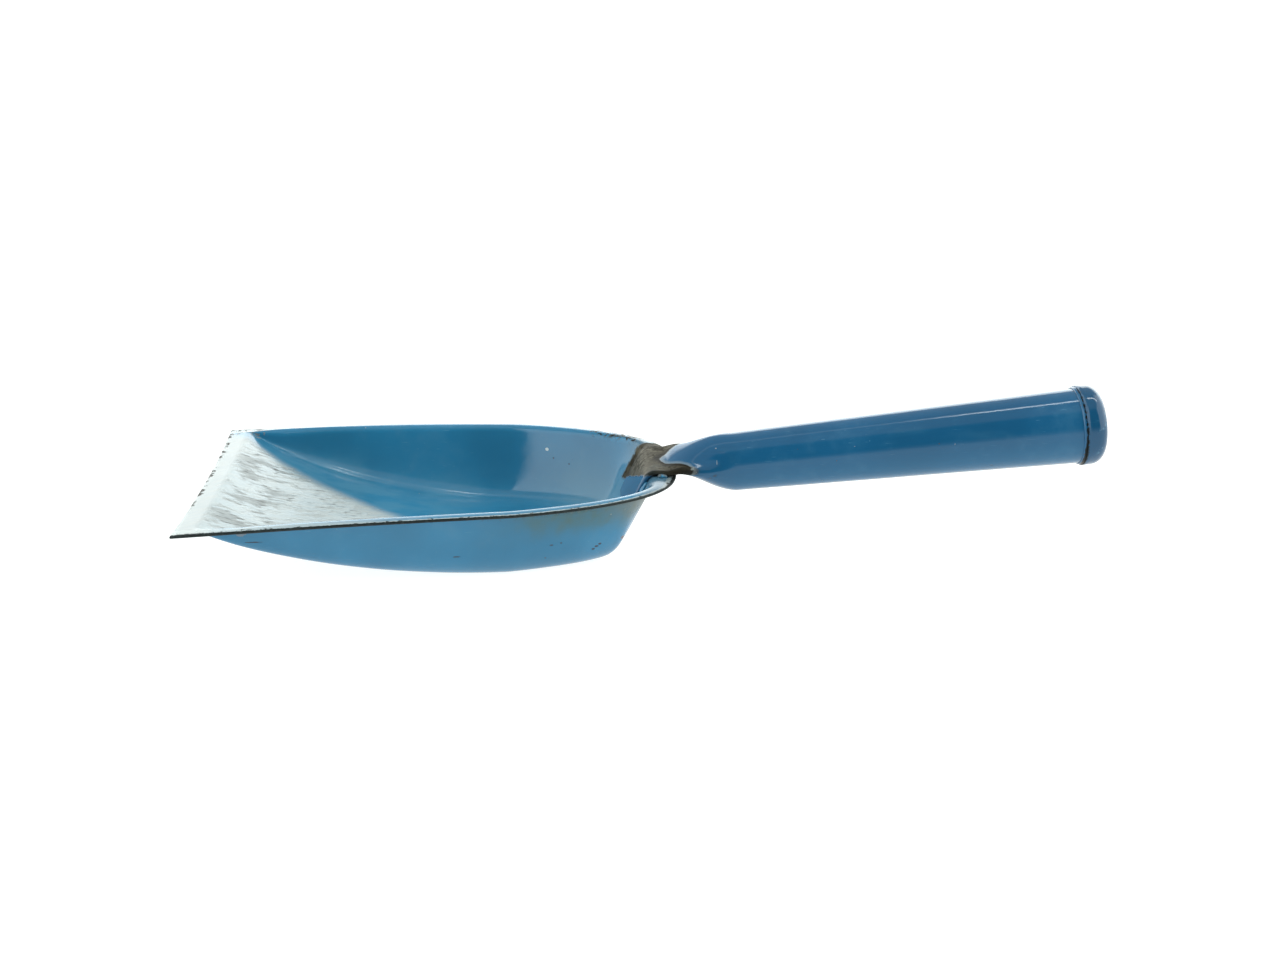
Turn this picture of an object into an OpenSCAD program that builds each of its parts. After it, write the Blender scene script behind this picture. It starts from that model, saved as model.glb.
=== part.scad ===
// Enamelled grain scoop: a pressed pan, a hollow tapered handle whose front end is flattened into a
// tang and bent down inside the pan, and an end cap.
// The origin is at the middle of the footprint on the table. +X runs from the mouth to the handle's
// end, +Z is up.

/* [Overall] */
// Length from the front lip to the crown of the end cap
overall_l = 300.4; // [296:0.1:320]

/* [Pan] */
// Length of the pan, from the front lip to the back of the rim
pan_l = 156.6; // [150:0.1:158]
// Width across the rim at the front lip
mouth_w = 107.5; // [100:0.5:116]
// Width across the rim where the back curve begins
waist_w = 97; // [90:0.5:100]
// Distance from the front lip to where the back curve begins
waist_x = 100.5; // [94:0.5:104]
// Height of the rim's back above the front lip
rim_rise = 3.8; // [0:0.1:5]
// Depth of the floor's underside below the front lip
pan_depth = 21; // [17:0.1:26]
// Thickness of the pan's enamelled sheet
pan_t = 1; // [0.8:0.1:1.6]
// Width of the flat lip across the front
lip_w = 8; // [8:0.5:14]
// Hollow of the front edge, seen from above
lip_bow = 1.5; // [0:0.1:3]
// Distance from the front lip to where the floor levels out
level_x = 100; // [90:1:104]
// Width of the rim flange along the sides
flange_w = 4.6; // [3.5:0.1:6]
// Width of the rim flange at the back, under the tang
shelf_w = 9; // [8:0.5:13]
// Fall of the rim flange towards its outer edge
flange_drop = 0.7; // [0:0.1:1]
// Slope of the side walls from upright, in degrees
side_draft = 15; // [8:1:22]
// Slope of the back wall from upright, in degrees
back_draft = 26; // [18:1:30]

/* [Handle] */
// Radius of the handle where it leaves the tang
grip_front_r = 9.8; // [9:0.1:11]
// Radius of the handle at the end cap
grip_rear_r = 12.7; // [11:0.1:14]
// Thickness of the handle's sheet
tube_t = 0.9; // [0.6:0.1:1]
// Upward slope of the handle, in degrees
handle_slope = 5.9; // [4:0.1:8]
// Width of the flattened tang
tang_w = 28; // [24:0.5:30]
// Length of the tongue that is bent down inside the pan
tongue_l = 17; // [12:0.5:18]

/* [End cap] */
// Length of the cap, from its seam to its crown
cap_l = 8.2; // [7:0.1:14]
// Radius of the cap's rounded shoulder
shoulder_r = 4.5; // [2:0.1:5]
// Radius of the cap's domed crown
crown_r = 60; // [30:1:90]
// Thickness of the cap's sheet
cap_t = 0.7; // [0.5:0.1:1]

/* [Hidden] */
// Clearance between faces that lie on each other
touch = 0.05;

// How full the back curve is, seen from above: along the pan and across it
back_power_x = 1.25;
back_power_y = 3.1;
// How late the sides draw in behind the mouth
side_power = 1.6;
// Radius of the bend where the flange turns down into the wall
rim_bend_r = 2.6;
// Roundness of the two corners where the side walls meet the back wall
corner_blend = 1.5;
// How far down its slope the wall stays straight, at the sides and at the back
side_straight = 0.42;
back_straight = 0.62;
// How far the floor's fillet runs in from the foot of the wall, at the sides and at the back
side_fillet = 6;
back_fillet = 16;
// How closely the fillet hugs the corner of wall and floor
fillet_pull = 1.3;
// How fast the floor drops behind the lip and how early it eases out: 1 and 1 is a straight ramp
ramp_start = 0.85;
ramp_power = 1.9;
// Distance from the front lip over which the flange gets its fall
drop_x = 35;
// Distance from the front lip to the highest part of the rim
rim_top_x = 126;
// Columns along each side and round the back, and rows across the bend, the fillet and the floor
side_cols = 27;
back_cols = 48;
bend_rows = 4;
fillet_rows = 7;
floor_rows = 5;

// The tang is two thicknesses of sheet pressed together, and its tip has rounded corners
tang_t = 2 * tube_t;
tip_r = 3;
// The tang's top begins to rise at the first of these and its underside, clear of the pan, falls
// from the second one on. The tube is round from the neck on.
open_top_x = 153;
open_low_x = 157;
neck_x = 176;
neck_z = 4.8;
// How much narrower the flare's top is than its underside, where it starts to open
flare_crown = 0.9;
// Rings round the tip, the bend and the flare, and corners round the tube
tip_rings = 4;
bend_rings = 7;
flare_rings = 12;
tube_corners = 64;
// How far the tube reaches into the cap
tube_in_cap = 2.6;

// Size of the brazed bead at the cap's seam, and of the weld fillets along the tang
braze_w = 0.6;
weld_leg = 1;
arc_steps = 10;

// ---- The pan ----

// Heights of the rim and of the floor's upper face, at a distance from the front lip
function rim_z(x) = x < rim_top_x ? rim_rise * (1 - pow(1 - x / rim_top_x, 2)) : rim_rise;
floor_z = pan_t - pan_depth;
function ramp(t) = 1 - pow(1 - pow(min(max(t, 0), 1), ramp_start), ramp_power);
function drop_at(x) = flange_drop * min(x / drop_x, 1);
function bed_z(x) =
    let (lip = rim_z(lip_w) + drop_at(lip_w))
    x < lip_w ? rim_z(x) + drop_at(x)
    : lip + (floor_z - lip) * ramp((x - lip_w) / (level_x - lip_w));

// A curve from a to b with its corner at c, drawn towards c by w
function curve(a, c, b, w, t) =
    ((1 - t) * (1 - t) * a + 2 * w * t * (1 - t) * c + t * t * b)
    / ((1 - t) * (1 - t) + 2 * w * t * (1 - t) + t * t);
function smooth_max(a, b, k) = (a + b + sqrt((a - b) * (a - b) + k * k)) / 2;

// Columns of the pan's face run from the near front corner along the side, round the back and out
// to the far front corner. The turn of a column is 0 on a side and 90 degrees in the middle of the back.
cols = 2 * side_cols + back_cols;
function on_side(i) = i <= side_cols || i >= cols - side_cols;
function side_of(i) = i < cols / 2 ? -1 : 1;
function side_x(i) = waist_x * min(i, cols - i) / side_cols;
function turn(i) = on_side(i) ? 0 : 180 * (i - side_cols) / back_cols;
function half_w(x) = (mouth_w + (waist_w - mouth_w) * pow(x / waist_x, side_power)) / 2;

// Where a column starts, on the outer edge of the rim, and where it ends, on the floor's middle line
function rim_xy(i) =
    on_side(i)
    ? [side_x(i), side_of(i) * half_w(side_x(i))]
    : [
        waist_x + (pan_l - waist_x) * pow(1 - pow(abs(cos(turn(i))), back_power_y), 1 / back_power_x),
        -cos(turn(i)) * waist_w / 2
      ];
function spine_xy(i) = [on_side(i) ? side_x(i) : waist_x, 0];
function inward(i) = (spine_xy(i) - rim_xy(i)) / norm(spine_xy(i) - rim_xy(i));

// How far in from the rim's edge a column meets the walls at a depth below the rim.
// The side wall keeps its distance from the rim, and the back wall is one flat face.
back_wall_x = pan_l - shelf_w;
function wall_in(i, depth) =
    let (
        side = flange_w + depth * tan(side_draft),
        back = on_side(i) ? 0 : (rim_xy(i)[0] - back_wall_x + depth * tan(back_draft)) / -inward(i)[0]
    )
    on_side(i) ? side : smooth_max(side, back, corner_blend * sin(turn(i)));

// The section of the sheet's upper face down one column: [distance in from the rim's edge, height]
function section(i) =
    let (
        x = rim_xy(i)[0],
        run = norm(spine_xy(i) - rim_xy(i)),
        drop = drop_at(x),
        top = rim_z(x) + drop,
        fall = top - bed_z(on_side(i) ? x : level_x),
        flange = wall_in(i, 0),
        bend = min(rim_bend_r, 0.35 * fall + 0.3),
        back = sin(turn(i)),
        mouth = [flange, top],
        foot = [wall_in(i, fall) + 2 * bend * max(1 - fall, 0), top - fall],
        slope = (foot - mouth) / norm(foot - mouth),
        bend_in = [flange - bend, top - drop * bend / flange],
        bend_out = mouth + bend * slope,
        heel = bend_out + (foot - bend_out)
            * (side_straight + (back_straight - side_straight) * pow(back, 4)),
        fillet = (side_fillet + (back_fillet - side_fillet) * back)
            * (0.25 + 0.75 * fall / (rim_rise + flange_drop - floor_z)),
        toe = [foot[0] + fillet, foot[1]]
    )
    concat(
        [[0, top - drop]],
        [for (k = [0:bend_rows]) curve(bend_in, mouth, bend_out, 1, k / bend_rows)],
        [for (k = [0:fillet_rows]) curve(heel, foot, toe, fillet_pull, k / fillet_rows)],
        [for (k = [1:floor_rows]) [toe[0] + (run - toe[0]) * k / floor_rows, toe[1]]]
    );
rows = bend_rows + fillet_rows + floor_rows + 3;

// A section's point in its place in the pan, with the hollow of the front edge put in
function place(i, s) =
    let (
        p = rim_xy(i) + s[0] * inward(i),
        hollow = 1 - pow(min(abs(p[1]) / (mouth_w / 2), 1), 2),
        fade = max(1 - p[0] / (3 * lip_w), 0)
    )
    [p[0] + lip_bow * hollow * fade, p[1], s[1]];

// The upper face without its middle line, and the under face, which is the upper one moved along its
// own normals by the thickness of the sheet
last = rows - 2;
function face_grid() = [for (i = [0:cols]) let (s = section(i)) [for (j = [0:last]) place(i, s[j])]];
function downward(g, i, j) =
    let (
        along = g[min(i + 1, cols)][j] - g[max(i - 1, 0)][j],
        across = g[i][min(j + 1, last)] - g[i][max(j - 1, 0)],
        n = cross(along, across) / norm(cross(along, across))
    )
    n[2] > 0 ? -n : n;
function under_grid(g) =
    [for (i = [0:cols]) [for (j = [0:last])
        let (p = g[i][j] + pan_t * downward(g, i, j))
        [i == 0 || i == cols ? g[i][j][0] : p[0], p[1], max(p[2], -pan_depth)]
    ]];

function at(i, j) = i * (last + 1) + j;
function spine_at(i) = min(i, cols - i, side_cols);

module in_frame() translate([-overall_l / 2, 0, pan_depth]) children();

module scoop_pan() color("steelblue") in_frame() {
    upper = face_grid();
    under = under_grid(upper);
    spine = [for (i = [0:side_cols]) place(i, section(i)[rows - 1])];
    under_spine = [for (p = spine) [p[0], p[1], max(p[2] - pan_t, -pan_depth)]];
    mid = (cols + 1) * (last + 1);
    low = mid + side_cols + 1;
    low_mid = low + mid;
    faces = concat(
        [for (i = [0:cols - 1], j = [0:last - 1]) [at(i, j), at(i, j + 1), at(i + 1, j + 1), at(i + 1, j)]],
        [for (i = [0:cols - 1], j = [0:last - 1])
            [low + at(i, j), low + at(i + 1, j), low + at(i + 1, j + 1), low + at(i, j + 1)]],
        [for (i = [0:cols - 1]) let (a = spine_at(i), b = spine_at(i + 1))
            a == b ? [at(i, last), mid + a, at(i + 1, last)]
            : [at(i, last), mid + a, mid + b, at(i + 1, last)]],
        [for (i = [0:cols - 1]) let (a = spine_at(i), b = spine_at(i + 1))
            a == b ? [low + at(i, last), low + at(i + 1, last), low_mid + a]
            : [low + at(i, last), low + at(i + 1, last), low_mid + b, low_mid + a]],
        [for (i = [0:cols - 1]) [at(i, 0), at(i + 1, 0), low + at(i + 1, 0), low + at(i, 0)]],
        [for (j = [0:last - 1]) [at(0, j), low + at(0, j), low + at(0, j + 1), at(0, j + 1)]],
        [for (j = [0:last - 1]) [at(cols, j), at(cols, j + 1), low + at(cols, j + 1), low + at(cols, j)]],
        [
            [at(0, last), low + at(0, last), low_mid, mid],
            [at(cols, last), mid, low_mid, low + at(cols, last)]
        ]
    );
    polyhedron(
        points = concat([for (c = upper) each c], spine, [for (c = under) each c], under_spine),
        faces = faces,
        convexity = 8
    );
}

// ---- The handle ----

// The cap's crown touches the overall length, so the axis ends where that puts it
axis_l = (overall_l - neck_x - crown_r) / cos(handle_slope) + crown_r;
seam_l = axis_l - cap_l;
tube_l = seam_l + tube_in_cap;
function axis_at(l) = [neck_x + l * cos(handle_slope), neck_z + l * sin(handle_slope)];
function grip_r(l) = grip_front_r + (grip_rear_r - grip_front_r) * l / tube_l;

// The tang's middle line, in [x, z]: up the back wall, round the bend and out along the shelf
mid_shelf = wall_in(cols / 2, 0);
shelf_fall = atan(flange_drop / mid_shelf);
shelf_out = [cos(shelf_fall), -sin(shelf_fall)];
shelf_up = [sin(shelf_fall), cos(shelf_fall)];
wall_down = [-sin(back_draft), -cos(back_draft)];
wall_off = [-cos(back_draft), sin(back_draft)];
lift = touch + tang_t / 2;
pan_corner = [pan_l - mid_shelf, rim_rise + flange_drop];
// The corner of the two lines that lie at the same height above the shelf and above the wall
tang_bend = 90 - back_draft + shelf_fall;
tang_corner = pan_corner + lift * shelf_up - lift * tan(tang_bend / 2) * shelf_out;
bend_reach = rim_bend_r + lift * tan(tang_bend / 2) - 0.3;

function tip_half_w(d) = tang_w / 2 - tip_r + sqrt(max(tip_r * tip_r - pow(tip_r - min(d, tip_r), 2), 0));
// How far the top and the underside have opened at a share of the flare
function open_top(t) = 1 - pow(1 - t, 2.4);
function open_low(t) = (t + t * t * (3 - 2 * t)) / 2;
// The tube's top opens in the middle first: how narrow its crown is, 0.5 being round
function crown(t) = 0.5 + flare_crown * pow(1 - t, 1.5);

// Stations along the handle: [x, z, half width, half height, share of the flare]
function mix(a, b, t) = a + (b - a) * t;
function flat_z(x) = tang_corner[1] - tan(shelf_fall) * (x - tang_corner[0]);
function axis_z(x) = neck_z + tan(handle_slope) * (x - neck_x);
function flare(x) =
    let (
        rise = open_top((x - open_top_x) / (neck_x - open_top_x)),
        open = open_low(max(x - open_low_x, 0) / (neck_x - open_low_x)),
        top = mix(flat_z(x) + tang_t / 2, axis_z(x) + grip_front_r, rise),
        low = mix(flat_z(x) - tang_t / 2, axis_z(x) - grip_front_r, open)
    )
    [
        x, (top + low) / 2, mix(tang_w / 2, grip_front_r, open), (top - low) / 2,
        (x - open_top_x) / (neck_x - open_top_x)
    ];
function stations() = concat(
    [for (k = [0:tip_rings]) let (d = tip_r * pow(k / tip_rings, 2))
        concat(tang_corner + (tongue_l - d) * wall_down, [tip_half_w(d), tang_t / 2, 0])],
    [for (k = [0:bend_rings])
        concat(
            curve(
                tang_corner + bend_reach * wall_down, tang_corner, tang_corner + bend_reach * shelf_out,
                1, k / bend_rings
            ),
            [tang_w / 2, tang_t / 2, 0]
        )],
    [for (k = [0:flare_rings]) flare(mix(open_top_x, neck_x, k / flare_rings))],
    [concat(axis_at(tube_l), [grip_r(tube_l), grip_r(tube_l), 1])]
);

// Which way the handle runs at a station
function heading(st, k) =
    let (
        a = st[max(k - 1, 0)],
        b = st[min(k + 1, len(st) - 1)],
        x = st[k][0]
    )
    k <= tip_rings + bend_rings + 1 ? atan2(b[1] - a[1], b[0] - a[0])
    : mix(-shelf_fall, handle_slope, min((x - open_top_x) / (neck_x - open_top_x), 1));

// The section at a station, moved inwards by inset: flat with round edges in the tang, then crowned in
// the middle, then round. The sheet's two layers meet at the section's side edges.
function ring(st, angle, inset) =
    let (half_w = st[2] - inset, half_h = st[3] - inset, layer = tube_t - min(inset, tube_t - touch))
    [for (c = [0:tube_corners - 1])
        let (
            a = 360 * (c + 0.5) / tube_corners,
            y = half_w * cos(a),
            in = min(half_w - abs(y), layer),
            flat = sqrt(layer * layer - pow(layer - in, 2)),
            high = mix(flat, layer * abs(sin(a)), st[4])
                + (half_h - layer) * pow(abs(sin(a)), sin(a) > 0 ? 2 * crown(st[4]) : 1),
            up = sin(a) > 0 ? high : -high
        )
        [st[0] - up * sin(angle), y, st[1] + up * cos(angle)]
    ];

// A closed solid through a list of rings with the same number of corners
module loft(rings) {
    n = len(rings[0]);
    polyhedron(
        points = [for (r = rings) each r],
        faces = concat(
            [[for (c = [0:n - 1]) c]],
            [for (k = [0:len(rings) - 2], c = [0:n - 1]) let (d = (c + 1) % n)
                [k * n + c, (k + 1) * n + c, (k + 1) * n + d, k * n + d]],
            [[for (c = [n - 1:-1:0]) (len(rings) - 1) * n + c]]
        ),
        convexity = 8
    );
}

module handle_tube() color("royalblue") in_frame() {
    st = stations();
    count = len(st);
    first_open = [for (k = [0:count - 1]) if (st[k][3] > 2 * tube_t) k][0];
    outer = [for (k = [0:count - 1]) ring(st[k], heading(st, k), 0)];
    inner = [for (k = [count - 1:-1:first_open]) ring(st[k], heading(st, k), tube_t)];
    loft(concat(outer, inner));
}

// ---- The end cap ----

cap_r = grip_r(tube_l) + touch + cap_t;

module on_axis(l) {
    p = axis_at(l);
    in_frame() translate([p[0], 0, p[1]]) rotate([0, 90 - handle_slope, 0]) children();
}

// The cap's outline from its seam to its crown, moved inwards by inset
function cap_outline(inset) =
    let (
        lean = asin((cap_r - shoulder_r) / (crown_r - shoulder_r)),
        shoulder_h = cap_l - crown_r + (crown_r - shoulder_r) * cos(lean)
    )
    concat(
        [[cap_r - inset, 0]],
        [for (k = [0:arc_steps]) let (a = (90 - lean) * k / arc_steps)
            [cap_r - shoulder_r, shoulder_h] + (shoulder_r - inset) * [cos(a), sin(a)]],
        [for (k = [1:arc_steps]) let (a = lean * (1 - k / arc_steps))
            [0, cap_l - crown_r] + (crown_r - inset) * [sin(a), cos(a)]]
    );

module end_cap() color("lightskyblue") on_axis(seam_l) {
    inside = cap_outline(cap_t);
    rotate_extrude($fn = 96)
        polygon(concat(cap_outline(0), [for (k = [len(inside) - 1:-1:0]) inside[k]]));
}

// The bead sits in the corner between the cap's edge and the tube
module cap_seam_braze() color("slategray") on_axis(seam_l) {
    seat = grip_r(seam_l) + touch;
    rotate_extrude($fn = 96)
        polygon(concat(
            [[seat, -touch]],
            [for (k = [0:arc_steps]) let (a = 90 * k / arc_steps)
                [seat, -touch] + [braze_w * cos(a), -2 * braze_w * sin(a)]]
        ));
}

// ---- The tang's welds ----

// A bead in the corner between the tang's far edge and the face that it lies on. It runs along one of
// the tang's straight stretches, between two distances from the corner, and fades out at both ends.
module weld_bead(run, up, from, to) {
    edge = tang_w / 2 + touch;
    loft([for (k = [0:arc_steps])
        let (
            t = k / arc_steps,
            foot = tang_corner + (from + (to - from) * t) * run - (lift - 2 * touch) * up,
            leg = weld_leg * sqrt(max(1 - pow(2 * t - 1, 4), 0.04))
        )
        [for (a = [0, 15, 45, 75, 90, 225])
            let (reach = a > 90 ? 0 : leg, p = foot + reach * sin(a) * up)
            [p[0], edge + reach * cos(a), p[1]]
        ]
    ]);
}

module tang_welds() color("sienna") in_frame()
    for (flip = [0, 1]) mirror([0, flip, 0]) {
        weld_bead(shelf_out, shelf_up, bend_reach, open_top_x - tang_corner[0]);
        weld_bead(wall_down, wall_off, tongue_l - tip_r, bend_reach);
    }

scoop_pan();
handle_tube();
end_cap();
cap_seam_braze();
tang_welds();
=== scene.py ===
"""Builds a grain scoop of enamelled sheet steel, with its wear, on a pale studio floor."""

from math import asin, atan, atan2, cos, hypot, pi, radians, sin, sqrt, tan

import bmesh
import bpy
from bpy.props import FloatProperty, FloatVectorProperty, IntProperty, PointerProperty
from mathutils import Matrix, Vector, noise


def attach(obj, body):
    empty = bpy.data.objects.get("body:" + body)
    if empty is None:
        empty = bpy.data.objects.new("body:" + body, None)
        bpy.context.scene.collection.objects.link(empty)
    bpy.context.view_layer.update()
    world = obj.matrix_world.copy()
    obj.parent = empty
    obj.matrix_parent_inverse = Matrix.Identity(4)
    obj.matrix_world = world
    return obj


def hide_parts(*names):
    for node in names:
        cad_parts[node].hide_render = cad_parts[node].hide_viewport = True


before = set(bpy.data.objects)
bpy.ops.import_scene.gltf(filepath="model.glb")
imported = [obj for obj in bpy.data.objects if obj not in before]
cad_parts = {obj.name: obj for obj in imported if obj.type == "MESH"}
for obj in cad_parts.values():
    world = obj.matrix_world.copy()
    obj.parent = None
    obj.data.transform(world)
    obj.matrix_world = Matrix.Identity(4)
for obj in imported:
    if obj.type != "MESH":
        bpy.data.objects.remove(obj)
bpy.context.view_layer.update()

bl_info = {
    "name": "Grain Scoop",
    "version": (1, 0, 0),
    "blender": (4, 5, 0),
    "location": "View3D > Sidebar > Scoop",
    "description": "Enamelled grain scoop with a pressed pan, a rolled handle and an end cap",
    "category": "Add Mesh",
}

MM = 0.001


# ---- Sizes and colours that can be changed ----

def length(name, text, mm):
    return FloatProperty(name=name, description=text, default=mm * MM, min=0.0, subtype="DISTANCE", unit="LENGTH")


def angle(name, text, turn):
    return FloatProperty(name=name, description=text, default=radians(turn), subtype="ANGLE", unit="ROTATION")


def amount(name, text, share, top=1.0):
    return FloatProperty(name=name, description=text, default=share, min=0.0, max=top, subtype="FACTOR")


def strength(name, text, level):
    return FloatProperty(name=name, description=text, default=level, min=0.0)


def tint(name, text, rgb):
    return FloatVectorProperty(name=name, description=text, default=rgb, size=3, min=0.0, max=1.0, subtype="COLOR")


class ScoopPanSizes(bpy.types.PropertyGroup):
    reach: length("Length", "From the front lip to the back of the rim", 156.6)
    mouth_w: length("Mouth width", "Width across the rim at the front lip", 107.5)
    waist_w: length("Waist width", "Width across the rim where the back curve begins", 97)
    waist_x: length("Waist place", "From the front lip to where the back curve begins", 100.5)
    rim_rise: length("Rim rise", "Height of the rim's back above the front lip", 3.8)
    depth: length("Depth", "Depth of the floor's underside below the front lip", 21)
    sheet: length("Sheet", "Thickness of the enamelled sheet", 1)
    lip_w: length("Lip", "Width of the flat lip across the front", 8)
    lip_bow: length("Lip hollow", "Hollow of the front edge, seen from above", 1.5)
    level_x: length("Ramp", "From the front lip to where the floor levels out", 100)
    flange_w: length("Flange", "Width of the rim flange along the sides", 4.6)
    shelf_w: length("Shelf", "Width of the rim flange at the back, under the tang", 9)
    flange_drop: length("Flange fall", "Fall of the flange towards its outer edge", 0.7)
    side_draft: angle("Side slope", "Slope of the side walls from upright", 15)
    back_draft: angle("Back slope", "Slope of the back wall from upright", 26)
    ripple: length("Ripple", "Unevenness of the hand-dipped floor and walls", 0.16)


class ScoopHandleSizes(bpy.types.PropertyGroup):
    overall: length("Overall length", "From the front lip to the crown of the end cap", 300.4)
    front_r: length("Front radius", "Radius of the handle where it leaves the tang", 9.8)
    rear_r: length("Rear radius", "Radius of the handle at the end cap", 12.7)
    sheet: length("Sheet", "Thickness of the handle's sheet", 0.9)
    slope: angle("Slope", "Upward slope of the handle", 5.9)
    tang_w: length("Tang width", "Width of the flattened tang", 28)
    tongue: length("Tongue", "Length of the tongue that is bent down inside the pan", 17)
    neck_x: length("Neck place", "From the front lip to where the tube is round", 176)
    neck_z: length("Neck height", "Height of the tube's axis at the neck above the front lip", 4.8)
    cap_h: length("Cap height", "Length of the cap from its seam to its crown", 8.2)
    shoulder_r: length("Cap shoulder", "Radius of the cap's rounded shoulder", 4.5)
    crown_r: length("Cap crown", "Radius of the cap's domed crown", 60)
    cap_sheet: length("Cap sheet", "Thickness of the cap's sheet", 0.7)
    braze: length("Braze", "Width of the brazed bead at the cap's seam", 0.6)
    weld: length("Weld", "Leg of the weld beads along the tang", 1)
    round_corners: IntProperty(name="Corners", description="Corners round the tube", default=96, min=24)


class ScoopFinish(bpy.types.PropertyGroup):
    blue: tint("Pan enamel", "Enamel of the pan where it is sound", (0.0165, 0.150, 0.275))
    deep: tint("Handle enamel", "Enamel of the handle and the cap where it is sound", (0.0060, 0.072, 0.160))
    pale: tint("Dulled enamel", "Enamel where it is scuffed and dulled", (0.085, 0.225, 0.32))
    grey: tint("Scoured enamel", "Enamel scoured down to its ground coat", (0.325, 0.372, 0.366))
    steel: tint("Bare edge", "Oxidised steel where the enamel is gone", (0.024, 0.030, 0.030))
    burnt: tint("Burnt tang", "Bare brown steel on the tang", (0.070, 0.063, 0.044))
    scorch: tint("Scorch", "Dark border of the burnt part", (0.016, 0.014, 0.010))
    rust: tint("Rust", "Rust stains and chips", (0.23, 0.085, 0.03))
    olive: tint("Stain", "Olive stain under the rim", (0.048, 0.105, 0.092))
    gloss: amount("Gloss", "Roughness of the sound enamel", 0.07)
    wear: amount("Wear", "How much of the scuffs and scratches shows", 1.0)


class ScoopStage(bpy.types.PropertyGroup):
    floor_w: length("Floor", "Width of the floor", 16000)
    floor_tint: tint("Floor colour", "Colour of the floor", (0.28, 0.285, 0.28))
    floor_glow: strength("Floor glow", "Brightness of the floor's own light, as on a lit table", 0.92)
    back_light: strength("Back light", "Brightness of the lit wall behind", 3.15)
    side_light: strength("Side light", "Brightness of the lit side walls", 2.5)
    top_light: strength("Top light", "Brightness of the lit roof", 0.7)
    front_light: strength("Front light", "Brightness of the open front", 0.10)
    lamp_light: strength("Lamp", "Brightness of the strip lamp overhead", 11)
    lens: FloatProperty(name="Lens", description="Focal length of the camera in mm", default=48.13, min=1)
    camera_at: FloatVectorProperty(
        name="Camera", description="Place of the camera", default=(-0.03588, -0.54208, 0.20612),
        size=3, subtype="TRANSLATION", unit="LENGTH",
    )
    aim_at: FloatVectorProperty(
        name="Aim", description="Point the camera looks at", default=(-0.0040, 0.0244, 0.0110),
        size=3, subtype="TRANSLATION", unit="LENGTH",
    )
    roll: angle("Roll", "How far the camera leans to one side", 0.66)


# ---- Shape helpers, in millimetres from the front lip and above it ----

def take_in_mm(form, sizes, names):
    """Gives the form these of its sizes, under the same names, in millimetres."""
    for name in names.split():
        setattr(form, name, getattr(sizes, name) / MM)


def curve(a, c, b, pull, t):
    """A point on the curve from a to b that is drawn towards the corner c."""
    wa, wc, wb = (1 - t) * (1 - t), 2 * pull * t * (1 - t), t * t
    return (wa * a + wc * c + wb * b) / (wa + wc + wb)


def smooth_max(a, b, k):
    return (a + b + sqrt((a - b) * (a - b) + k * k)) / 2


def smooth(t):
    t = min(max(t, 0.0), 1.0)
    return t * t * (3 - 2 * t)


def mix(a, b, t):
    return a + (b - a) * t


def placed(x, y, z):
    """A point measured from the front lip, in its place in the frame."""
    scene = bpy.context.scene
    return Vector((
        x * MM - scene.scoop_handle.overall / 2,
        y * MM,
        z * MM + scene.scoop_pan.depth,
    ))


def uneven(point, reach, offset=0.0):
    """Smooth unevenness from -1 to 1 with bumps about this many millimetres across."""
    return noise.noise(Vector((point[0] / reach + offset, point[1] / reach - offset, point[2] / reach)))


def loft(bm, sections, ring=False):
    """Draws the first section as a chain of edges and pulls it through the others, point for point."""
    order = bm.verts.layers.int.get("order") or bm.verts.layers.int.new("order")
    chain = [bm.verts.new(p) for p in sections[0]]
    for k, v in enumerate(chain):
        v[order] = k
    edges = [bm.edges.new(pair) for pair in zip(chain, chain[1:] + (chain[:1] if ring else []))]
    for section in sections[1:]:
        made = bmesh.ops.extrude_edge_only(bm, edges=edges)["geom"]
        moved = {v for v in made if isinstance(v, bmesh.types.BMVert)}
        for v in moved:
            v.co = section[v[order]]
        edges = [e for e in made if isinstance(e, bmesh.types.BMEdge) and set(e.verts) <= moved]


def close_ends(bm):
    bmesh.ops.holes_fill(bm, edges=[e for e in bm.edges if e.is_boundary])


def finished(bm, name, material, node):
    """Makes the mesh a piece that stands for its CAD node, carries its finish and rides on the frame."""
    mesh = bpy.data.meshes.new(name)
    bm.to_mesh(mesh)
    bm.free()
    mesh.materials.append(material)
    mesh.shade_smooth()
    piece = bpy.data.objects.new(name, mesh)
    bpy.context.scene.collection.objects.link(piece)
    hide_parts(node)
    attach(piece, "root")
    return piece


# ---- The pan ----

SIDE_COLUMNS = 27
BACK_COLUMNS = 48
COLUMNS = 2 * SIDE_COLUMNS + BACK_COLUMNS
COLUMN_SPLIT = 2
BACK_POWER_X, BACK_POWER_Y = 1.25, 3.1
SIDE_POWER = 1.6
RIM_BEND = 2.6
CORNER_BLEND = 1.5
SIDE_STRAIGHT, BACK_STRAIGHT, STRAIGHT_POWER = 0.42, 0.62, 4
SIDE_FILLET, BACK_FILLET, FILLET_POWER = 6, 16, 3
FILLET_PULL = 1.3
RIM_ROWS, FILLET_ROWS, FLOOR_ROWS = 7, 11, 9
RIM_TOP_X = 126
RAMP_START, RAMP_POWER = 0.85, 1.9
DROP_X = 35


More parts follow.
